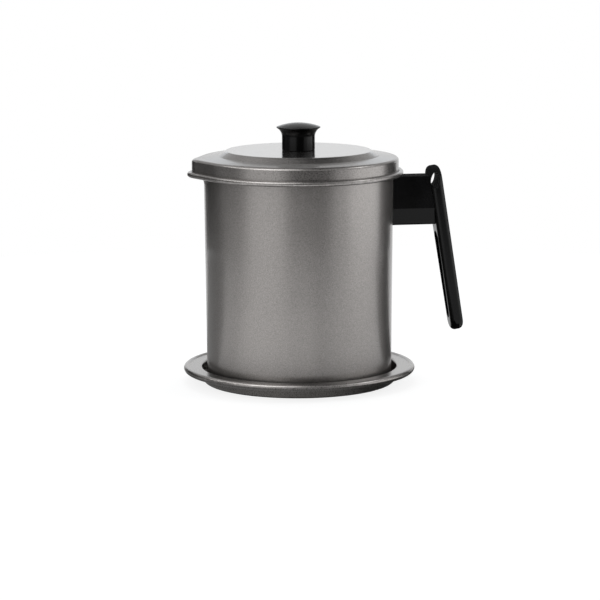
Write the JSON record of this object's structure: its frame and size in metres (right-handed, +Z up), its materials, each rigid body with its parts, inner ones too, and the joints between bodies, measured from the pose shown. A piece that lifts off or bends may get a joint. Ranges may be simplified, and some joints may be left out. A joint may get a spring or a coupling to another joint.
{
  "type": "bacon grease container",
  "caption": "Lidded metal can with a lift-out strainer, a pressed pouring spout, a black side handle and a round drip tray.",
  "frame": {"origin": "centre of the drip tray's flat underside, on the axis of the can", "axes": "+Z up, +X from the can's axis towards the side handle, -X towards the pouring spout"},
  "size_m": [0.2017, 0.1648, 0.185],
  "materials": {
    "coated_steel": "warm grey metallic coat with fine speckle, semi-gloss",
    "black_moulding": "black moulded plastic, smooth and glossy",
    "plain_steel": "plain pressed steel",
    "screw_steel": "bright plated screw",
    "strainer_steel": "stainless steel, fine brushing",
    "woven_steel": "fine woven stainless wire",
    "brass": "turned brass"
  },
  "bodies": {
    "tray": {"drip_tray": "coated_steel"},
    "pot": {"pot_body": "coated_steel", "handle_pad": "plain_steel", "handle_boss": "plain_steel", "handle": "black_moulding", "handle_screw_washer": "plain_steel", "handle_screw": "screw_steel"},
    "strainer": {"strainer_cup": "strainer_steel", "strainer_mesh": "woven_steel", "mesh_retaining_ring": "strainer_steel"},
    "lid": {"lid_shell": "coated_steel", "lid_knob": "black_moulding", "knob_insert": "brass", "knob_screw_washer": "plain_steel", "knob_screw": "screw_steel"}
  },
  "joints": [
    {"name": "pot_lift", "type": "slide", "parent": "tray", "child": "pot", "axis": [0, 0, 1], "range_m": [0, 0.03]},
    {"name": "strainer_lift", "type": "slide", "parent": "pot", "child": "strainer", "axis": [0, 0, 1], "range_m": [0, 0.05]},
    {"name": "lid_lift", "type": "slide", "parent": "strainer", "child": "lid", "axis": [0, 0, 1], "range_m": [0, 0.04]}
  ]
}
